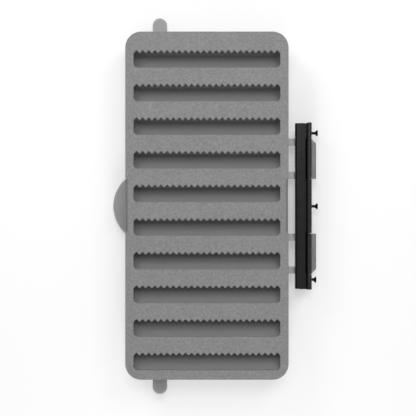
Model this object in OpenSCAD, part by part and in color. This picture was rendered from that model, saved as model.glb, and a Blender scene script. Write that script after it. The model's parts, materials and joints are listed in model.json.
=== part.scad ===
// Swing leaf of a fly box: a double sided page with toothed slots on both faces,
// which turns on a slim hinge whose rail is screwed to the spine of the box.
// All sizes are in millimetres. The leaf lies flat, X points at the hinge, Y runs
// along the leaf, and the rear face rests on the plane Z = 0.

/* [Leaf layers] */
// Width of the leaf, from its free edge to its hinge edge
leaf_w = 85; // [60:0.5:140]
// Length of the leaf along the hinge
leaf_l = 181.2; // [178:0.1:240]
// Corner radius of the leaf
leaf_corner_r = 8.3; // [4:0.1:20]
// Thickness of each toothed face panel
panel_t = 2.4; // [1.5:0.1:4]
// Thickness of each trough tray
tray_t = 5.6; // [5.2:0.1:9]
// Thickness of the core plate that carries the leaf
core_t = 1.6; // [1.2:0.1:3]
// How far the core plate stays back from the edge of the leaf
core_inset = 0.4; // [0.1:0.1:1.5]

/* [Toothed slots] */
// Number of slots on each face
slot_n = 10; // [2:1:10]
// Plain land between the ends of the slots and the long edges of the leaf
side_land = 4.25; // [3.5:0.05:12]
// Height of each slot, from its lower edge to the roots of its teeth
slot_h = 9.3; // [7:0.1:12]
// Distance from one slot to the next
slot_pitch = 17.5; // [16:0.1:17.6]
// Plain land above the first slot
top_land = 9.5; // [6:0.1:12]
// Radius of the two lower corners of each slot
slot_corner_r = 2.3; // [0.5:0.1:3.5]
// Number of notches in the comb of each slot
comb_n = 24; // [8:1:36]
// Depth of the notches of the comb
comb_depth = 1.6; // [0.6:0.1:2.4]

/* [Troughs] */
// Depth of the trough below the panel, at its deepest
trough_depth = 4.4; // [3.5:0.1:4.8]
// Radius where the sloping floor turns up into the wall below the comb
trough_r = 2; // [0.5:0.1:3]
// How far the trough reaches in under the roots of the teeth
trough_undercut = 0.8; // [0:0.1:2]

/* [Side recesses] */
// Depth of the finger recess in each long edge of a panel
recess_depth = 1.25; // [0.5:0.05:3]
// Length of the recess, with its slanted ends
recess_l = 29; // [15:0.5:60]

/* [Tabs] */
// Radius of the thumb tab on the free edge
thumb_r = 19.8; // [12:0.1:30]
// How far the thumb tab stands out of the free edge
thumb_reach = 7.5; // [3:0.1:11]
// Width of the tab at each end
end_tab_w = 7.8; // [4:0.1:15]
// How far each end tab stands out
end_tab_reach = 9.7; // [5:0.1:15]
// Distance from the free edge of the leaf to the middle of the end tabs
end_tab_inset = 17.4; // [13:0.1:30]

/* [Tray pegs] */
// Radius of the pegs that key the front tray to the rear tray
peg_r = 2; // [1:0.1:2.5]
// How far a peg reaches into the rear tray
peg_reach = 3; // [1.5:0.1:4.5]
// Distance from the side of a slot in to the pegs
peg_inset = 8; // [4:0.5:16]
// Radial clearance of a peg in its socket
peg_clear = 0.05; // [0.02:0.01:0.2]

/* [Hinge straps] */
// Distance between the middles of the two straps
strap_spacing = 50.6; // [40:0.1:56]
// Width of each strap
strap_w = 21.4; // [14:0.1:24]
// Width of each of the two arms beside the window of a strap
strap_arm = 3.85; // [2:0.05:5]
// How far the window of a strap runs from the edge of the leaf
strap_window_l = 5.2; // [3:0.1:6]
// Radius of the corners of the window
strap_window_r = 0.8; // [0.3:0.1:2]
// How far the heel of a strap passes the hinge axis
heel_reach = 3.9; // [2.5:0.1:6]
// Chamfer on the outer corner of a heel
heel_chamfer = 2.4; // [0.5:0.1:4]
// Width of the step along the outer edges of a heel
heel_step_w = 0.65; // [0.2:0.05:1]
// Depth of that step below the top of the heel
heel_step_d = 0.9; // [0.2:0.1:1]

/* [Hinge] */
// Distance from the edge of the leaf to the hinge axis
axis_reach = 11.8; // [11:0.1:16]
// Radius of the hinge barrel
barrel_r = 1.3; // [1:0.05:2]
// Radius of the hinge pin
pin_r = 0.5; // [0.3:0.05:0.7]
// How far each end of the pin lies inside the barrel
pin_recess = 0.3; // [0:0.1:1]
// Radial clearance of the pin in the turning knuckles
pin_run_clear = 0.05; // [0.02:0.01:0.09]
// Radial clearance of the pin in the fixed knuckles
pin_hold_clear = 0.02; // [0.01:0.01:0.04]
// Gap between the barrel and the straps below it
strap_gap = 0.2; // [0.1:0.05:0.5]
// End gap between a turning knuckle and a fixed one
knuckle_gap = 0.3; // [0.1:0.05:0.6]
// Width of the flat part of the hinge bar
bar_w = 5.2; // [4.6:0.1:5.6]
// Width of the groove between the bar and the barrel
groove_w = 1; // [0.8:0.1:1.6]
// Thickness of the web that joins a knuckle to the foot of the bar
web_t = 0.6; // [0.4:0.05:1]
// How much shorter the bar is than the rail, at each end
bar_setback = 0.4; // [0:0.1:2]
// Radius of the round edge of the bar that faces the leaf
bar_edge_r = 1.2; // [0.4:0.1:1.6]

/* [Mounting rail] */
// Length of the rail
rail_l = 88.4; // [84:0.1:120]
// How far the flange of the rail hangs below the hinge axis
flange_drop = 7.9; // [7:0.1:9]
// Gap around the sweep of the heels
heel_clear = 0.3; // [0.2:0.05:1]
// How far the stop ledge reaches out of the flange
ledge_reach = 3.6; // [2:0.1:5]
// Thickness of the stop ledge
ledge_t = 1.2; // [0.8:0.1:2]
// Gap between the bar at rest and the stop ledge
ledge_gap = 0.1; // [0.05:0.05:0.3]

/* [Mounting screws] */
// Distance from each end of the rail to its outer screw
screw_inset = 5; // [2:0.1:6.5]
// How far the screws lie below the hinge axis
screw_drop = 3.7; // [2.8:0.1:4.5]
// Radius of the shank of a mounting screw
screw_r = 0.8; // [0.5:0.05:1]
// Radius of its countersunk head
screw_head_r = 1.7; // [1.3:0.1:2.4]
// Thickness of the straight rim of the head
screw_rim = 0.3; // [0.1:0.05:0.4]
// Length of the screw over all
screw_l = 5.2; // [4:0.1:7]
// Length of its point
screw_point = 1.6; // [0.8:0.1:2]
// Radius of the very tip of its point
screw_tip_r = 0.05; // [0.02:0.01:0.2]
// How far the point of each screw has been started into its hole
screw_started = 1.6; // [0.6:0.1:2]
// Radial clearance of a screw in its hole
screw_clear = 0.05; // [0.02:0.01:0.2]
// Radius of the countersunk mouth of each hole
mouth_r = 1.45; // [1.1:0.05:1.6]
// Lean of the lower screw, which sits a little askew
lower_lean = 3; // [0:1:4]
// How far the point of the lower screw has been started into its hole
lower_started = 2.4; // [1:0.1:2.5]

/* [Strap screws] */
// Radius of the shank of a screw that holds a strap to the bar
strap_screw_r = 0.7; // [0.4:0.05:0.9]
// Radius of its countersunk head
strap_screw_head_r = 1.3; // [1:0.05:1.6]
// How far it reaches into the bar
strap_screw_bite = 1.6; // [0.8:0.1:2]
// Distance between the two screws of a strap
strap_screw_spacing = 12; // [8:0.1:16]

/* [Hidden] */
$fn = 48;
// A small overshoot, so that a cut passes clean through a face
over = 1;

// Heights of the layers, from the rear face up
core_z = panel_t + tray_t;
core_top_z = core_z + core_t;
leaf_t = 2 * (panel_t + tray_t) + core_t;

// Slots, counted from the top end
slot_w = leaf_w - 2 * side_land;
comb_pitch = slot_w / comb_n;
trough_span = slot_h + trough_undercut;
rib_w = slot_pitch - trough_span;
function slot_y(i) = leaf_l / 2 - top_land - slot_h - i * slot_pitch;

// Pegs stand in the first, the middle and the last rib
peg_x = slot_w / 2 - peg_inset;
peg_ribs = [0, floor((slot_n - 2) / 2), slot_n - 2];
function rib_y(i) = slot_y(i) - rib_w / 2;

// Tabs
thumb_x = -leaf_w / 2 - thumb_reach + thumb_r;
end_tab_x = -leaf_w / 2 + end_tab_inset;

// Hinge
axis_x = leaf_w / 2 + axis_reach;
axis_z = core_top_z + strap_gap + barrel_r;
bar_right_x = axis_x - barrel_r - groove_w;
bar_l = rail_l - 2 * bar_setback;
strap_y = strap_spacing / 2;
strap_x0 = leaf_w / 2 - leaf_corner_r;
heel_x = axis_x + heel_reach;
heel_sweep_r = norm([heel_reach, barrel_r + strap_gap + core_t]);

// Fixed lugs of the rail, each as [lowest y, highest y]
lug_in_y = strap_y - strap_w / 2 - knuckle_gap;
lug_out_y = strap_y + strap_w / 2 + knuckle_gap;
lugs = [[-rail_l / 2, -lug_out_y], [-lug_in_y, lug_in_y], [lug_out_y, rail_l / 2]];

// Mounting screws
screw_spacing = rail_l / 2 - screw_inset;
spine_x = axis_x + barrel_r;
screw_z = axis_z - screw_drop;
head_x = spine_x - screw_started + screw_l;
mouth_depth = mouth_r - screw_r - screw_clear;

// Strap screws sit half way between the window of the strap and the edge of the bar
strap_screw_x = (leaf_w / 2 + strap_window_l + bar_right_x) / 2;

// Shift that puts the origin below the middle of the whole part
place = [-(head_x - leaf_w / 2 - thumb_reach) / 2, 0, 0];

panel_colour = [0.52, 0.52, 0.52];
tray_colour = [0.46, 0.46, 0.46];
core_colour = [0.58, 0.58, 0.58];
black_colour = [0.13, 0.13, 0.13];
steel_colour = [0.7, 0.7, 0.72];
screw_colour = [0.22, 0.22, 0.23];

// Rectangle about the origin with round corners
module round_rect(w, l, r) {
    square([w - 2 * r, l], center = true);
    square([w, l - 2 * r], center = true);
    for (x = [-1, 1], y = [-1, 1]) translate([x * (w / 2 - r), y * (l / 2 - r)]) circle(r);
}

module leaf_outline() round_rect(leaf_w, leaf_l, leaf_corner_r);

// Outline of one slot, with its lower edge on the X axis and the comb along its top
module slot_outline() {
    tip_y = slot_h - comb_depth;
    comb = [for (i = [0 : comb_n - 1]) each [
        [-slot_w / 2 + i * comb_pitch, tip_y],
        [-slot_w / 2 + (i + 0.5) * comb_pitch, slot_h]
    ]];
    polygon(concat([[-slot_w / 2, slot_corner_r]], comb,
                   [[slot_w / 2, tip_y], [slot_w / 2, slot_corner_r]]));
    translate([-slot_w / 2 + slot_corner_r, 0]) square([slot_w - 2 * slot_corner_r, slot_h / 2]);
    for (x = [-1, 1])
        translate([x * (slot_w / 2 - slot_corner_r), slot_corner_r]) circle(slot_corner_r);
}

// Recess cut into the long edge at +X of a panel, with slanted ends
module recess_outline() {
    polygon([
        [leaf_w / 2 - recess_depth, recess_l / 2 - recess_depth],
        [leaf_w / 2 + over, recess_l / 2 + over],
        [leaf_w / 2 + over, -recess_l / 2 - over],
        [leaf_w / 2 - recess_depth, -recess_l / 2 + recess_depth]
    ]);
}

// One toothed face panel, lying on Z = 0
module comb_panel() {
    linear_extrude(panel_t) difference() {
        leaf_outline();
        for (i = [0 : slot_n - 1]) translate([0, slot_y(i)]) slot_outline();
        recess_outline();
        mirror([1, 0]) recess_outline();
    }
}

// Cross section of a trough: the floor falls from the lower lip of the slot to a
// round bottom below the comb. The first axis runs up the leaf, the second is height.
module trough_section() {
    centre = [trough_span - trough_r, trough_r - trough_depth];
    reach = norm(centre);
    fall = atan2(centre[1], centre[0]) - asin(trough_r / reach);
    run = sqrt(reach * reach - trough_r * trough_r);
    polygon([
        [0, 0], run * [cos(fall), sin(fall)], centre,
        [trough_span, centre[1]], [trough_span, over], [0, over]
    ]);
    translate(centre) circle(trough_r);
}

// One trough, as long as its slot
module trough() {
    translate([-slot_w / 2, 0, 0]) rotate([90, 0, 90]) linear_extrude(slot_w) trough_section();
}

// One tray with its back on Z = 0 and its troughs open upwards
module tray_block() {
    difference() {
        linear_extrude(tray_t) leaf_outline();
        for (i = [0 : slot_n - 1]) translate([0, slot_y(i), tray_t]) trough();
    }
}

// Repeats its child at each peg
module at_pegs() {
    for (x = [-1, 1], i = peg_ribs) translate([x * peg_x, rib_y(i), 0]) children();
}

module front_tray() {
    color(tray_colour) translate(place) {
        translate([0, 0, core_top_z]) tray_block();
        at_pegs() translate([0, 0, core_z - peg_reach]) cylinder(h = peg_reach + core_t, r = peg_r);
    }
}

module rear_tray() {
    color(tray_colour) translate(place) difference() {
        translate([0, 0, core_z]) mirror([0, 0, 1]) tray_block();
        at_pegs() translate([0, 0, core_z - peg_reach - peg_clear])
            cylinder(h = peg_reach + over, r = peg_r + peg_clear);
    }
}

module front_comb_panel() {
    color(panel_colour) translate(place + [0, 0, leaf_t - panel_t]) comb_panel();
}

module rear_comb_panel() {
    color(panel_colour) translate(place) comb_panel();
}

// Disc with a fully round rim
module round_disc(r) {
    rotate_extrude() {
        square([r - core_t / 2, core_t]);
        translate([r - core_t / 2, core_t / 2])
            intersection() { circle(core_t / 2); translate([0, -core_t]) square(2 * core_t); }
    }
}

// Tab at the upper end, with fully round edges and a round tip
module end_tab() {
    tip_y = leaf_l / 2 + end_tab_reach - end_tab_w / 2;
    root_y = leaf_l / 2 - leaf_corner_r;
    translate([end_tab_x, tip_y, 0]) round_disc(end_tab_w / 2);
    translate([end_tab_x, tip_y, core_t / 2]) rotate([90, 0, 0]) linear_extrude(tip_y - root_y) {
        square([end_tab_w - core_t, core_t], center = true);
        for (x = [-1, 1]) translate([x * (end_tab_w - core_t) / 2, 0]) circle(core_t / 2);
    }
}

// Outline of the upper strap with its chamfered heel, kept back by a step from the
// end of the heel and from its chamfer
module heel_outline(step) {
    low_y = strap_y - strap_w / 2;
    high_y = strap_y + strap_w / 2;
    chamfer = heel_chamfer + step * (sqrt(2) - 1);
    polygon([
        [strap_x0, low_y], [heel_x - step, low_y], [heel_x - step, high_y - chamfer],
        [heel_x - step - chamfer, high_y], [strap_x0, high_y]
    ]);
}

// The upper strap, with its window and the step round its heel
module strap() {
    window_w = strap_w - 2 * strap_arm;
    window_l = strap_window_l + core_inset;
    difference() {
        union() {
            linear_extrude(core_t - heel_step_d) heel_outline(0);
            linear_extrude(core_t) heel_outline(heel_step_w);
        }
        translate([leaf_w / 2 - core_inset + window_l / 2, strap_y, -over])
            linear_extrude(core_t + 2 * over) round_rect(window_l, window_w, strap_window_r);
    }
}

// Repeats its child at the four strap screws
module at_strap_screws() {
    for (y = [-1, 1], s = [-1, 1])
        translate([strap_screw_x, y * strap_y + s * strap_screw_spacing / 2, core_z]) children();
}

// Head and shank of a strap screw, pointing up, with its head flush at Z = 0
module strap_screw(clear) {
    head_h = strap_screw_head_r - strap_screw_r;
    cylinder(h = head_h, r1 = strap_screw_head_r + clear, r2 = strap_screw_r + clear);
    cylinder(h = core_t + strap_screw_bite, r = strap_screw_r + clear);
}

module strap_screws() {
    color(screw_colour) translate(place) at_strap_screws() strap_screw(0);
}

module core_plate() {
    color(core_colour) translate(place) difference() {
        translate([0, 0, core_z]) {
            linear_extrude(core_t)
                round_rect(leaf_w - 2 * core_inset, leaf_l - 2 * core_inset, leaf_corner_r - core_inset);
            strap();
            mirror([0, 1, 0]) strap();
            translate([thumb_x, 0, 0]) round_disc(thumb_r);
            end_tab();
            mirror([0, 1, 0]) end_tab();
        }
        at_pegs() translate([0, 0, core_z - over])
            cylinder(h = core_t + 2 * over, r = peg_r + peg_clear);
        at_strap_screws() strap_screw(screw_clear);
    }
}

// Cylinder along the hinge axis from one y to another
module along_axis(y0, y1, r) {
    translate([axis_x, y1, axis_z]) rotate([90, 0, 0]) cylinder(h = y1 - y0, r = r);
}

// Straight length along the hinge from one y to another, whose section is the child,
// drawn in x and z from the hinge axis
module along_hinge(y0, y1) {
    translate([axis_x, y1, axis_z]) rotate([90, 0, 0]) linear_extrude(y1 - y0) children();
}

// Section of the flat bar beside the groove, with its round edge towards the leaf
module bar_section() {
    left = -barrel_r - groove_w - bar_w;
    bottom = -barrel_r - strap_gap;
    height = 2 * barrel_r + strap_gap;
    translate([left, bottom]) square([bar_w, height - bar_edge_r]);
    translate([left + bar_edge_r, bottom]) square([bar_w - bar_edge_r, height]);
    translate([left + bar_edge_r, barrel_r - bar_edge_r]) circle(bar_edge_r);
}

// Section of a turning knuckle: a round barrel, whose web slopes down from it to the
// foot of the bar, so that a deep groove is left between the two
module knuckle_section() {
    foot = [-barrel_r - groove_w, web_t - barrel_r];
    turn = atan2(foot[1], foot[0]) - acos(barrel_r / norm(foot));
    circle(barrel_r);
    polygon([
        barrel_r * [cos(turn), sin(turn)], foot, foot - [over, 0],
        [foot[0] - over, -barrel_r], [0, -barrel_r], [0, 0]
    ]);
}

module hinge_bar() {
    color(black_colour) translate(place) difference() {
        union() {
            along_hinge(-bar_l / 2, bar_l / 2) bar_section();
            for (s = [-1, 1])
                along_hinge(s * strap_y - strap_w / 2, s * strap_y + strap_w / 2) knuckle_section();
        }
        along_axis(-rail_l / 2, rail_l / 2, pin_r + pin_run_clear);
        at_strap_screws() strap_screw(screw_clear);
    }
}

module hinge_pin() {
    color(steel_colour) translate(place)
        along_axis(pin_recess - rail_l / 2, rail_l / 2 - pin_recess, pin_r);
}

// Section of a fixed lug: the barrel, its flange and the stop ledge under the bar,
// which has a bevelled root
module lug_section() {
    ledge_top = -barrel_r - strap_gap - ledge_gap;
    circle(barrel_r);
    translate([-barrel_r, -flange_drop]) square([2 * barrel_r, flange_drop]);
    polygon([
        [0, ledge_top], [-barrel_r - ledge_reach, ledge_top],
        [-barrel_r - ledge_reach, ledge_top - ledge_t], [-barrel_r - ledge_t, ledge_top - ledge_t],
        [-barrel_r, ledge_top - 2 * ledge_t], [0, ledge_top - 2 * ledge_t]
    ]);
}

module mounting_rail() {
    strip_w = flange_drop - heel_sweep_r - heel_clear;
    hole_r = screw_r + screw_clear;
    color(black_colour) translate(place) difference() {
        union() {
            for (lug = lugs) along_hinge(lug[0], lug[1]) lug_section();
            along_hinge(-rail_l / 2, rail_l / 2)
                translate([-barrel_r, -flange_drop]) square([2 * barrel_r, strip_w]);
        }
        along_axis(-rail_l / 2 - over, rail_l / 2 + over, pin_r + pin_hold_clear);
        for (s = [-1, 0, 1]) translate([spine_x, s * screw_spacing, screw_z]) rotate([0, -90, 0]) {
            translate([0, 0, -over]) cylinder(h = 2 * barrel_r + ledge_reach + over, r = hole_r);
            cylinder(h = mouth_depth, r1 = mouth_r, r2 = hole_r);
        }
    }
}

// A mounting screw that points along -Z, with the tip of its point at the origin
module mounting_screw() {
    cone_h = screw_head_r - screw_r;
    translate([0, 0, screw_l - screw_rim]) cylinder(h = screw_rim, r = screw_head_r);
    translate([0, 0, screw_l - screw_rim - cone_h]) cylinder(h = cone_h, r1 = screw_r, r2 = screw_head_r);
    translate([0, 0, screw_point]) cylinder(h = screw_l - screw_rim - screw_point, r = screw_r);
    cylinder(h = screw_point, r1 = screw_tip_r, r2 = screw_r);
}

// Screw s of the row, started into its hole by a given depth and leaning by an angle
module screw_in_row(s, started, lean) {
    color(screw_colour) translate(place)
        translate([spine_x, s * screw_spacing, screw_z]) rotate([0, 0, -lean]) rotate([0, 90, 0])
            translate([0, 0, -started]) mounting_screw();
}

module mounting_screw_upper() screw_in_row(1, screw_started, 0);

module mounting_screw_middle() screw_in_row(0, screw_started, 0);

module mounting_screw_lower() screw_in_row(-1, lower_started, lower_lean);

core_plate();
front_tray();
rear_tray();
front_comb_panel();
rear_comb_panel();
hinge_bar();
strap_screws();
mounting_rail();
hinge_pin();
mounting_screw_upper();
mounting_screw_middle();
mounting_screw_lower();
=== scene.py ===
"""Looks of a double sided swing leaf for a fly box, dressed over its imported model."""
import json
import math
import statistics
from collections import namedtuple

import bmesh
import bpy
from mathutils import Matrix, Vector


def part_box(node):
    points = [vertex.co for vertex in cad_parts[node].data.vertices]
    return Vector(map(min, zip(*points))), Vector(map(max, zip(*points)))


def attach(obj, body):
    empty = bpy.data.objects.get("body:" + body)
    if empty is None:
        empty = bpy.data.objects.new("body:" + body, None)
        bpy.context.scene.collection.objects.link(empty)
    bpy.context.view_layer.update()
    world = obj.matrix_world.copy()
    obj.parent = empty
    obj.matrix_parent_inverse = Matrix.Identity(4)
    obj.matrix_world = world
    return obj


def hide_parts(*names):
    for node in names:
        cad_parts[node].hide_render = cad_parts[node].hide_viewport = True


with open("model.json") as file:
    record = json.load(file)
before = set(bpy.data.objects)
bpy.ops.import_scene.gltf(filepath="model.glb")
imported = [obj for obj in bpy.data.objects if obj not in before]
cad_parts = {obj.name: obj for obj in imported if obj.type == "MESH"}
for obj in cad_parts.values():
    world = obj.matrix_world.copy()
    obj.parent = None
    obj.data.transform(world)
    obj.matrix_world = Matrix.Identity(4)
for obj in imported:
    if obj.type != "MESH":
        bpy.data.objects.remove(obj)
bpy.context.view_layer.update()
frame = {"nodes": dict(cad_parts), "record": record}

MM = 0.001

# Where the camera hangs: square over the leaf, a little towards its lower end
LEAF_LOW, LEAF_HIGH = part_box("front_comb_panel")
LEAF_CENTRE = (LEAF_LOW + LEAF_HIGH) / 2
CAMERA_HEIGHT = 333 * MM
CAMERA_SLIDE = -12 * MM
CAMERA_LENS = 55.4
CAMERA_SENSOR = 36.0
CAMERA_SHIFT = (0.0026, 0.0498)
CAMERA_NEAR = 10 * MM

# Light: an even white room and four soft round lamps. Each lamp has its azimuth and its
# elevation in degrees, as seen from the middle of the part and with azimuth 0 at +Y, and then
# its distance, its size and its power
ROOM_LIGHT = 0.418
LAMPS = [
    (-40, 30, 500 * MM, 200 * MM, 0.46),
    (40, 45, 500 * MM, 200 * MM, 0.33),
    (0, 70, 500 * MM, 200 * MM, 0.45),
    (180, 30, 500 * MM, 200 * MM, 0.52),
]

# Floor: its colour, how much it is lifted for what looks at it, and its reach from the middle
FLOOR_COLOUR = 0.8
FLOOR_LIFT = 0.327
FLOOR_REACH = 3.0
FLOOR_CORNERS = ((-1, -1), (1, -1), (1, 1), (-1, 1))

# Points closer than WELD are merged, faces that meet flatter than FLAT_ANGLE become one, and
# edges sharper than SHARP_ANGLE are rounded. Larger faces count for more in the shading
WELD = 1e-6
FLAT_ANGLE = math.radians(0.5)
SHARP_ANGLE = math.radians(25)
NORMAL_WEIGHT = 60

# Rounding of the edges of each piece, as a radius and a number of steps. The radius is the
# most that it may be: where edges lie close together, all of a piece gets less
ROUNDING = {
    "front_comb_panel": (0.28 * MM, 3),
    "rear_comb_panel": (0.28 * MM, 3),
    "front_tray": (0.18 * MM, 2),
    "rear_tray": (0.18 * MM, 2),
    "core_plate": (0.22 * MM, 3),
    "hinge_bar": (0.16 * MM, 3),
    "mounting_rail": (0.14 * MM, 2),
    "hinge_pin": (0.1 * MM, 2),
}

# The values between which noise mostly stays
NOISE_LOW = 0.3
NOISE_HIGH = 0.7

# The least wear that a patch of a worn edge gets
PATCH_WEAR = 0.15

# Face sheet: its grey, its gloss, and the sizes, depths and shares of its grain and blotches
SHEET_LEVEL = 0.266
SHEET_SPECULAR = 0.35
SHEET_ROUGHNESS = (0.62, 0.82)
SHEET_GRAIN = 0.9 * MM
SHEET_GRAIN_HARSHNESS = 0.65
SHEET_GRAIN_SHARE = 0.22
SHEET_GRAIN_DEPTH = 0.05 * MM
SHEET_FINE_GRAIN = 0.16 * MM
SHEET_FINE_DEPTH = 0.02 * MM
SHEET_BLOTCH = 7 * MM
SHEET_BLOTCH_SHARE = 0.03
SHEET_WEAR = 1.12
SHEET_WEAR_PATCH = 3 * MM

# Moulded plastic: its flow marks, its fine grain, its wear and its smudges
FLOW_SIZE = 12 * MM
FLOW_SHARE = 0.03
FLOW_DEPTH = 0.03 * MM
PLASTIC_GRAIN = 0.3 * MM
PLASTIC_GRAIN_SHARE = 0.015
PLASTIC_GRAIN_DEPTH = 0.008 * MM
PLASTIC_WEAR = 1.12
PLASTIC_WEAR_PATCH = 2.5 * MM
SMUDGE_SIZE = 4 * MM
SMUDGE_SPAN = (-0.05, 0.07)

# Steel: its grain and its wear
STEEL_GRAIN = 0.12 * MM
STEEL_GRAIN_SHARE = 0.15
STEEL_GRAIN_DEPTH = 0.006 * MM
STEEL_ROUGHNESS_SPAN = (-0.08, 0.1)
STEEL_WEAR = 1.8
STEEL_WEAR_PATCH = 0.8 * MM

# Heels of the plate, painted shade: how light their sunk ledge is painted, a dark line in the
# photograph, how much of this painted shade the heels themselves get, and how deep a point counts
# as sunk
HEEL_LINE_PAINTED_SHADE = 0.04
HEEL_PAINTED_SHADE = 0.58
SKIN = 0.02 * MM

# Painted shade and light on the plate: how much of its lightness it keeps on the thumb tab and the
# lower tab, which are painted darker as shade, how many times lighter the straps and heels beyond
# the leaf's edge are painted, as painted light, and over which distance this changes at the leaf's
# edge
TAB_PAINTED_SHADE = 0.86
STRAP_PAINTED_LIGHT = 1.35
MARK_BLEND = 1 * MM

# The barrel of the hinge is painted lighter, a painted highlight. This begins as far inward of the
# pin as the rail reaches outward, changes over a short blend, and makes it this many times lighter
PIN_X = sum(corner.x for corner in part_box("hinge_pin")) / 2
BARREL_START = 2 * PIN_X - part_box("mounting_rail")[1].x
BARREL_BLEND = 0.2 * MM
BARREL_PAINTED_HIGHLIGHT = 4.5

# Screws, with the way that the tip of each one points
SCREWS = {
    "mounting_screw_upper": Vector((-1, 0, 0)),
    "mounting_screw_middle": Vector((-1, 0, 0)),
    "mounting_screw_lower": Vector((-1, 0, 0)),
    "strap_screws": Vector((0, 0, 1)),
}

# What is measured on a screw: its tip, its axis, its length, the radii of its shank and its
# head, the height of the head's straight rim and the length of the shank's pointed end
Screw = namedtuple("Screw", "tip axis length shank head rim point")

# How a screw is measured: the depth of the slice in which its tip is looked for, which share
# of the head's radius is more than any shank, which share of a radius counts as reaching it,
# and the decimals of a millimetre in which radii are compared
TIP_SLICE = 0.02 * MM
SHANK_SHARE = 0.7
NEAR_SHARE = 0.98
RADIUS_DECIMALS = 2

# How a screw is made: its thread, with the rings in each turn, its sides, its tip as a share
# of the shank's radius, the rounding of its rim, and how far from the rim's faces the middle
# of this rounding lies, as a share of it
THREAD_PITCH = 0.56 * MM
THREAD_DEPTH = 0.15 * MM
THREAD_ROWS = 10
SCREW_SIDES = 36
TIP_SHARE = 0.1
RIM_ROUNDING = 0.06 * MM
RIM_MIDDLE = 0.3

# Where a screw is shaded as sharp, and how fast its wear grows with how sharp an edge is
SCREW_SHARP_ANGLE = math.radians(35)
SCREW_WEAR = 4

# Cross recess: its reach, its width and its depth as shares of the head's radius, how far the
# cutter stands out above the head, and how many times as wide it is there and at its bottom
RECESS_SPAN = 0.62
RECESS_WIDTH = 0.24
RECESS_DEPTH = 0.42
RECESS_ABOVE = 0.1 * MM
RECESS_TOP = 1.05
RECESS_BOTTOM = 0.4


def material(name):
    """A new material, with its node tree and its shader."""
    made = bpy.data.materials.new(name)
    made.use_nodes = True
    return made, made.node_tree, made.node_tree.nodes["Principled BSDF"]


def add(tree, kind, inputs=None, **settings):
    """Adds a node. Each input is a number, a colour or the socket that feeds it."""
    node = tree.nodes.new(kind)
    for key, value in settings.items():
        setattr(node, key, value)
    for key, value in (inputs or {}).items():
        if isinstance(value, bpy.types.NodeSocket):
            tree.links.new(value, node.inputs[key])
        else:
            node.inputs[key].default_value = value
    return node


def noise(tree, size, detail=2.0, roughness=0.5):
    """Noise from 0 to 1 whose blotches are about size across, fixed to the piece."""
    place = add(tree, "ShaderNodeTexCoord").outputs["Object"]
    inputs = {"Vector": place, "Scale": 1 / size, "Detail": detail, "Roughness": roughness}
    return add(tree, "ShaderNodeTexNoise", inputs).outputs["Fac"]


def math_node(tree, operation, first, second):
    """The result of a calculation with two values."""
    return add(tree, "ShaderNodeMath", {0: first, 1: second}, operation=operation).outputs[0]


def times(tree, first, *others):
    """The product of some values."""
    product = first
    for other in others:
        product = math_node(tree, "MULTIPLY", product, other)
    return product


def spread(tree, source, low, high, from_low=NOISE_LOW, from_high=NOISE_HIGH):
    """Maps a value linearly to the range from low to high."""
    inputs = {
        "Value": source, "From Min": from_low, "From Max": from_high, "To Min": low, "To Max": high,
    }
    return add(tree, "ShaderNodeMapRange", inputs).outputs["Result"]


def vary(tree, source, share):
    """A factor near 1 that follows a noise up and down by a share."""
    return spread(tree, source, 1 - share, 1 + share)


def along(tree, axis, low, high, start, end):
    """Goes from low to high between two places along an axis of the piece itself."""
    place = add(tree, "ShaderNodeTexCoord").outputs["Object"]
    value = add(tree, "ShaderNodeSeparateXYZ", {0: place}).outputs[axis]
    return spread(tree, value, low, high, start, end)


def noted(tree, name):
    """A value that is noted on the vertices of the mesh."""
    return add(tree, "ShaderNodeAttribute", attribute_name=name).outputs["Fac"]


def grey(level):
    """Grey colour of a level."""
    return (level, level, level, 1.0)


def shade(tree, factor, level):
    """Grey colour of a level that is scaled by a factor."""
    value = times(tree, factor, level)
    inputs = {"Red": value, "Green": value, "Blue": value}
    return add(tree, "ShaderNodeCombineColor", inputs).outputs["Color"]


def worn(tree, rubbed, patch_size):
    """A factor that is 1, and goes up to rubbed along the rounded edges, in patches."""
    patches = spread(tree, noise(tree, patch_size, detail=3), PATCH_WEAR, 1.0)
    share = times(tree, noted(tree, "wear"), patches)
    return spread(tree, share, 1.0, rubbed, 0.0, 1.0)


def bump(tree, shader, layers):
    """Stacks bump layers, each a height from 0 to 1 with its depth in metres."""
    normal = None
    for height, depth in layers:
        inputs = {"Height": height, "Distance": depth, "Strength": 1.0}
        if normal:
            inputs["Normal"] = normal
        normal = add(tree, "ShaderNodeBump", inputs).outputs["Normal"]
    tree.links.new(normal, shader.inputs["Normal"])


def panel_sheet():
    """Matt, finely grained face sheet."""
    made, tree, shader = material("panel_sheet")
    grain = noise(tree, SHEET_GRAIN, detail=3, roughness=SHEET_GRAIN_HARSHNESS)
    blotch = noise(tree, SHEET_BLOTCH, detail=3)
    factor = times(
        tree,
        vary(tree, grain, SHEET_GRAIN_SHARE),
        vary(tree, blotch, SHEET_BLOTCH_SHARE),
        worn(tree, SHEET_WEAR, SHEET_WEAR_PATCH),
    )
    tree.links.new(shade(tree, factor, SHEET_LEVEL), shader.inputs["Base Color"])
    tree.links.new(spread(tree, grain, *SHEET_ROUGHNESS), shader.inputs["Roughness"])
    shader.inputs["Specular IOR Level"].default_value = SHEET_SPECULAR
    fine_grain = noise(tree, SHEET_FINE_GRAIN, detail=1)
    bump(tree, shader, [(grain, SHEET_GRAIN_DEPTH), (fine_grain, SHEET_FINE_DEPTH)])
    return made


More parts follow.
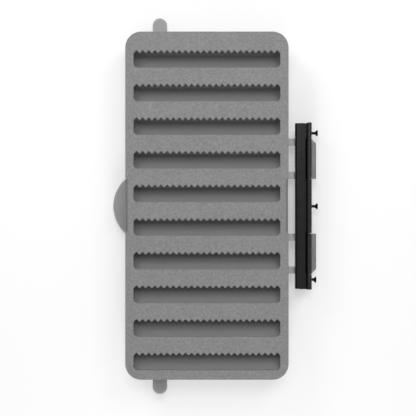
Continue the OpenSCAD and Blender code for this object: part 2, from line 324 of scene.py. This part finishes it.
def core_painted_light_and_shade(tree):
    """Factors for the plate, all painted: the dark line and shade on its heels, shade on its tabs
    and light on its straps.
    """
    return [
        spread(tree, noted(tree, "step"), 1.0, HEEL_LINE_PAINTED_SHADE, 0.0, 1.0),
        along(tree, "X", TAB_PAINTED_SHADE, 1.0, LEAF_LOW.x - MARK_BLEND, LEAF_LOW.x),
        along(tree, "Y", TAB_PAINTED_SHADE, 1.0, LEAF_LOW.y - MARK_BLEND, LEAF_LOW.y),
        along(tree, "X", 1.0, STRAP_PAINTED_LIGHT, LEAF_HIGH.x - MARK_BLEND, LEAF_HIGH.x),
    ]


def hinge_painted_highlight(tree):
    """Factor for the bar and the rail: a painted highlight that makes their barrel lighter."""
    return [along(tree, "X", 1.0, BARREL_PAINTED_HIGHLIGHT, BARREL_START, BARREL_START + BARREL_BLEND)]


def moulded(name, level, roughness, specular, wear=PLASTIC_WEAR, painted_light_and_shade=None):
    """Smooth moulded plastic with faint flow marks, and with painted light and shade if any are
    given.
    """
    made, tree, shader = material(name)
    flow = noise(tree, FLOW_SIZE, detail=3)
    grain = noise(tree, PLASTIC_GRAIN, detail=2)
    factor = times(
        tree,
        vary(tree, flow, FLOW_SHARE),
        vary(tree, grain, PLASTIC_GRAIN_SHARE),
        worn(tree, wear, PLASTIC_WEAR_PATCH),
    )
    # Painted light and shade, where given, scale the colour
    if painted_light_and_shade:
        factor = times(tree, factor, *painted_light_and_shade(tree))
    tree.links.new(shade(tree, factor, level), shader.inputs["Base Color"])
    smudge = noise(tree, SMUDGE_SIZE, detail=4)
    low, high = SMUDGE_SPAN
    gloss = spread(tree, smudge, roughness + low, roughness + high)
    tree.links.new(gloss, shader.inputs["Roughness"])
    shader.inputs["Specular IOR Level"].default_value = specular
    bump(tree, shader, [(flow, FLOW_DEPTH), (grain, PLASTIC_GRAIN_DEPTH)])
    return made


def milky(made, distance):
    """Lets light wander inside a material for about a distance."""
    inputs = made.node_tree.nodes["Principled BSDF"].inputs
    inputs["Subsurface Weight"].default_value = 1.0
    inputs["Subsurface Radius"].default_value = (1.0, 1.0, 1.0)
    inputs["Subsurface Scale"].default_value = distance
    return made


def steel(name, level, roughness):
    """Turned steel with fine grain and handling marks."""
    made, tree, shader = material(name)
    grain = noise(tree, STEEL_GRAIN, detail=3)
    factor = times(
        tree,
        vary(tree, grain, STEEL_GRAIN_SHARE),
        worn(tree, STEEL_WEAR, STEEL_WEAR_PATCH),
    )
    tree.links.new(shade(tree, factor, level), shader.inputs["Base Color"])
    low, high = STEEL_ROUGHNESS_SPAN
    gloss = spread(tree, grain, roughness + low, roughness + high)
    tree.links.new(gloss, shader.inputs["Roughness"])
    shader.inputs["Metallic"].default_value = 1.0
    bump(tree, shader, [(grain, STEEL_GRAIN_DEPTH)])
    return made


MATERIALS = {
    "panel_sheet": panel_sheet(),
    "tray_plastic": moulded("tray_plastic", level=0.2, roughness=0.42, specular=0.4),
    # The plate's colour carries painted shade on its heels and tabs, and painted light on its
    # straps
    "core_plastic": milky(
        moulded("core_plastic", level=0.4, roughness=0.4, specular=0.4, painted_light_and_shade=core_painted_light_and_shade),
        distance=3 * MM,
    ),
    # The black plastic's colour carries a painted highlight on the barrel of the hinge
    "black_plastic": moulded(
        "black_plastic", level=0.004, roughness=0.24, specular=0.22, wear=1.6, painted_light_and_shade=hinge_painted_highlight,
    ),
    "black_steel": steel("black_steel", level=0.022, roughness=0.36),
    "plain_steel": steel("plain_steel", level=0.16, roughness=0.3),
}


def new_object(name, data):
    """A new object in the scene."""
    made = bpy.data.objects.new(name, data)
    bpy.context.scene.collection.objects.link(made)
    return made


def mesh_from(bm, name):
    """A mesh made from a bmesh, which is then let go."""
    mesh = bpy.data.meshes.new(name)
    bm.to_mesh(mesh)
    bm.free()
    return mesh


def rounded_mesh(source, radius, steps):
    """A copy of a mesh with its sharp edges rounded, which notes the rounded edges as wear."""
    bm = bmesh.new()
    bm.from_mesh(source)
    bmesh.ops.remove_doubles(bm, verts=bm.verts, dist=WELD)
    bmesh.ops.dissolve_limit(bm, angle_limit=FLAT_ANGLE, verts=bm.verts, edges=bm.edges)
    sharp = [e for e in bm.edges if e.is_manifold and e.calc_face_angle() > SHARP_ANGLE]
    made = bmesh.ops.bevel(
        bm, geom=sharp, offset=radius, offset_type="OFFSET", segments=steps,
        profile=0.5, affect="EDGES", clamp_overlap=True,
    )
    strip = set(made["faces"])
    layer = bm.verts.layers.float.new("wear")
    for vert in bm.verts:
        vert[layer] = 1.0 if all(face in strip for face in vert.link_faces) else 0.0
    for face in bm.faces:
        face.smooth = True
    return mesh_from(bm, source.name + "_rounded")


def mark_painted_heel_shade(mesh):
    """Notes painted shade: the sunk ledge along the outer edge of the heels, painted as a dark line
    in the photograph, and the heels themselves, painted a little darker than the rest of the plate."""
    low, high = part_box("core_plate")
    heel_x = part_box("mounting_rail")[1].x
    layer = mesh.attributes.new("step", "FLOAT", "POINT")
    for vert, mark in zip(mesh.vertices, layer.data):
        # Painted shade: the sunk ledge gets the dark line, and the rest of each heel a lighter
        # painted shade
        if vert.co.x > heel_x:
            sunk = low.z + SKIN < vert.co.z < high.z - SKIN
            mark.value = 1.0 if sunk else HEEL_PAINTED_SHADE


def joined_to(start):
    """A vertex and all those that edges join to it."""
    group = {start}
    front = {start}
    while front:
        front = {e.other_vert(v) for v in front for e in v.link_edges} - group
        group |= front
    return group


def islands(mesh):
    """The separate solids of a mesh, each as a list of its corner points. A set has no fixed
    order, so they are listed in the order of the mesh, and every run adds them up alike."""
    bm = bmesh.new()
    bm.from_mesh(mesh)
    bmesh.ops.remove_doubles(bm, verts=bm.verts, dist=WELD)
    done = set()
    found = []
    for start in bm.verts:
        if start not in done:
            group = joined_to(start)
            done |= group
            found.append([v.co.copy() for v in bm.verts if v in group])
    bm.free()
    return sorted(found, key=lambda points: min(p.y for p in points))


def middle(points):
    """The mean of some points."""
    return sum(points, Vector()) / len(points)


def screw_sizes(points, pointing):
    """Tip, axis and sizes of a screw, measured on the corner points of its solid. A pointed end
    that is shorter than the slice at the tip is a rounding error, so the tip is flat."""
    reach = max(p.dot(pointing) for p in points)
    tip = middle([p for p in points if p.dot(pointing) > reach - TIP_SLICE])
    axis = (middle(points) - tip).normalized()
    rows = [((p - tip).dot(axis), (p - tip).cross(axis).length) for p in points]
    length = max(z for z, r in rows)
    head = max(r for z, r in rows)
    thin = [round(r / MM, RADIUS_DECIMALS) for z, r in rows if r < SHANK_SHARE * head]
    shank = statistics.mode(thin) * MM
    rim_z = min(z for z, r in rows if r > NEAR_SHARE * head)
    point_z = min(z for z, r in rows if r > NEAR_SHARE * shank)
    point = point_z if point_z > TIP_SLICE else 0.0
    return Screw(tip, axis, length, shank, head, length - rim_z, point)


def ring(bm, z, radii):
    """A ring of vertices at a height, with a radius for each side of the screw."""
    made = []
    for side, radius in enumerate(radii):
        angle = 2 * math.pi * side / SCREW_SIDES
        made.append(bm.verts.new((radius * math.cos(angle), radius * math.sin(angle), z)))
    return made


def wall(bm, low, high):
    """Faces between two rings of vertices."""
    for a in range(len(low)):
        b = (a + 1) % len(low)
        bm.faces.new((low[a], low[b], high[b], high[a]))


def thread_radii(screw, z, cone_z):
    """Radii round the shank at a height, where the thread fades out towards the head's cone."""
    taper = min(1.0, TIP_SHARE + (1 - TIP_SHARE) * z / screw.point) if screw.point else 1.0
    fade = min(1.0, (cone_z - z) / THREAD_PITCH)
    radii = []
    for side in range(SCREW_SIDES):
        angle = 2 * math.pi * side / SCREW_SIDES
        groove = 0.5 - 0.5 * math.cos(2 * math.pi * z / THREAD_PITCH - angle)
        radii.append(taper * (screw.shank - THREAD_DEPTH * fade * groove))
    return radii


def head_profile(screw):
    """Heights and radii of the rings that shape the head, with its rim rounded."""
    rim_z = screw.length - screw.rim
    soft = RIM_ROUNDING
    corner = RIM_MIDDLE * soft
    return [
        (rim_z - soft, screw.head - soft),
        (rim_z, screw.head - corner),
        (rim_z + soft, screw.head),
        (screw.length - soft, screw.head),
        (screw.length - corner, screw.head - corner),
        (screw.length, screw.head - soft),
    ]


def screw_mesh(screw):
    """A screw along +Z with its tip at the origin, a rolled thread and a countersunk head."""
    bm = bmesh.new()
    cone_z = screw.length - screw.rim - (screw.head - screw.shank)
    count = round(cone_z / THREAD_PITCH * THREAD_ROWS)
    heights = [cone_z * i / count for i in range(count + 1)]
    rings = [ring(bm, z, thread_radii(screw, z, cone_z)) for z in heights]
    for z, radius in head_profile(screw):
        if z > cone_z:
            rings.append(ring(bm, z, [radius] * SCREW_SIDES))
    for low, high in zip(rings, rings[1:]):
        wall(bm, low, high)
    bm.faces.new(reversed(rings[0]))
    bm.faces.new(rings[-1])
    return mesh_from(bm, "screw")


def recess_mesh(screw):
    """The cross shaped driver recess, as a body that narrows as it goes down into the head."""
    span = RECESS_SPAN * screw.head
    width = RECESS_WIDTH * screw.head / 2
    outline = []
    for quarter in range(4):
        turn = Matrix.Rotation(quarter * math.pi / 2, 2)
        outline += [turn @ Vector(p) for p in ((span, -width), (span, width), (width, width))]
    above = screw.length + RECESS_ABOVE
    below = screw.length - RECESS_DEPTH * screw.head
    bm = bmesh.new()
    levels = []
    for z, scale in ((above, RECESS_TOP), (below, RECESS_BOTTOM)):
        levels.append([bm.verts.new((p.x * scale, p.y * scale, z)) for p in outline])
    top, bottom = levels
    wall(bm, bottom, top)
    bm.faces.new(top)
    bm.faces.new(reversed(bottom))
    return mesh_from(bm, "recess")


def cut(mesh, cutter_mesh):
    """The mesh with another one cut out of it."""
    stock = new_object("stock", mesh)
    cutter = new_object("cutter", cutter_mesh)
    boolean = stock.modifiers.new("cut", "BOOLEAN")
    boolean.operation = "DIFFERENCE"
    boolean.solver = "EXACT"
    boolean.object = cutter
    bpy.context.view_layer.update()
    depsgraph = bpy.context.evaluated_depsgraph_get()
    made = bpy.data.meshes.new_from_object(stock.evaluated_get(depsgraph))
    for obj in (stock, cutter):
        bpy.data.objects.remove(obj)
    return made


def screws_for(node, pointing):
    """One mesh with a detailed screw in place of each solid of a node."""
    bm = bmesh.new()
    for points in islands(frame["nodes"][node].data):
        screw = screw_sizes(points, pointing)
        one = cut(screw_mesh(screw), recess_mesh(screw))
        turn = screw.axis.to_track_quat("Z", "Y").to_matrix().to_4x4()
        one.transform(Matrix.Translation(screw.tip) @ turn)
        bm.from_mesh(one)
    for face in bm.faces:
        face.smooth = True
    layer = bm.verts.layers.float.new("wear")
    bm.normal_update()
    for vert in bm.verts:
        vert[layer] = min(1.0, max(0.0, vert.calc_shell_factor() - 1.0) * SCREW_WEAR)
    mesh = mesh_from(bm, node + "_threaded")
    mesh.set_sharp_from_angle(angle=SCREW_SHARP_ANGLE)
    return mesh


def new_piece(name, mesh, slot):
    """An object with the material of a slot, shaded by the weight of its faces."""
    piece = new_object(name, mesh)
    piece.data.materials.clear()
    piece.data.materials.append(MATERIALS[slot])
    weighted = piece.modifiers.new("weighted", "WEIGHTED_NORMAL")
    weighted.weight = NORMAL_WEIGHT
    weighted.keep_sharp = True
    return piece


def dress_nodes():
    """Stands a finished piece in place of each CAD node: a rounded copy or a threaded screw."""
    record = frame["record"]
    bodies = {node: body for body, nodes in record["behaviour"]["bodies"].items() for node in nodes}
    for row in record["subparts"]:
        node = row["node"]
        slot = row["material_slot"]
        source = frame["nodes"][node]
        if node in ROUNDING:
            mesh = rounded_mesh(source.data, *ROUNDING[node])
        else:
            mesh = screws_for(node, SCREWS[node])
        # Notes where the plate's heels get painted shade
        if node == "core_plate":
            mark_painted_heel_shade(mesh)
        piece = new_piece("finished_" + node, mesh, slot)
        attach(piece, bodies[node])
        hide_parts(node)


def seen_directly(tree):
    """1 for rays from the camera and for mirrored or transmitted ones, else 0."""
    path = add(tree, "ShaderNodeLightPath").outputs
    mirrored = math_node(tree, "MAXIMUM", path["Is Glossy Ray"], path["Is Transmission Ray"])
    return math_node(tree, "MAXIMUM", path["Is Camera Ray"], mirrored)


def make_floor():
    """White table top that keeps the shadow, and is lifted a little for what looks at it."""
    mesh = bpy.data.meshes.new("floor")
    corners = [(x * FLOOR_REACH, y * FLOOR_REACH, 0) for x, y in FLOOR_CORNERS]
    mesh.from_pydata(corners, [], [(0, 1, 2, 3)])
    floor = new_object("floor", mesh)
    made, tree, shader = material("floor")
    tree.nodes.remove(shader)
    strength = times(tree, seen_directly(tree), FLOOR_LIFT)
    matt = add(tree, "ShaderNodeBsdfDiffuse", {"Color": grey(FLOOR_COLOUR)}).outputs[0]
    lift = add(tree, "ShaderNodeEmission", {"Strength": strength}).outputs[0]
    both = add(tree, "ShaderNodeAddShader", {0: matt, 1: lift}).outputs[0]
    tree.links.new(both, tree.nodes["Material Output"].inputs["Surface"])
    mesh.materials.append(made)


def make_room():
    """Even light from all round, behind which the background is white."""
    world = bpy.data.worlds.new("room")
    bpy.context.scene.world = world
    world.use_nodes = True
    tree = world.node_tree
    level = spread(tree, seen_directly(tree), ROOM_LIGHT, 1.0, 0.0, 1.0)
    tree.links.new(level, tree.nodes["Background"].inputs["Strength"])
    tree.nodes["Background"].inputs["Color"].default_value = grey(1.0)


def make_lamp(azimuth, elevation, distance, size, power):
    """A soft round lamp that shines at the middle of the part."""
    lamp = bpy.data.lights.new("lamp", "AREA")
    lamp.shape = "DISK"
    lamp.size = size
    lamp.energy = power
    turn = math.radians(azimuth)
    rise = math.radians(elevation)
    level = math.cos(rise)
    place = Vector((math.sin(turn) * level, math.cos(turn) * level, math.sin(rise)))
    holder = new_object("lamp", lamp)
    holder.location = place * distance
    holder.rotation_euler = (-place).to_track_quat("-Z", "Y").to_euler()


def make_light():
    """The room and the lamps."""
    make_room()
    for row in LAMPS:
        make_lamp(*row)


def make_camera():
    """The camera, which looks straight down on the leaf."""
    camera = bpy.data.cameras.new("camera")
    camera.lens = CAMERA_LENS
    camera.sensor_width = CAMERA_SENSOR
    camera.shift_x, camera.shift_y = CAMERA_SHIFT
    camera.clip_start = CAMERA_NEAR
    holder = new_object("camera", camera)
    holder.location = (LEAF_CENTRE.x, LEAF_CENTRE.y + CAMERA_SLIDE, LEAF_HIGH.z + CAMERA_HEIGHT)
    bpy.context.scene.camera = holder


dress_nodes()
make_floor()
make_light()
make_camera()
bpy.context.scene.view_settings.view_transform = "Standard"
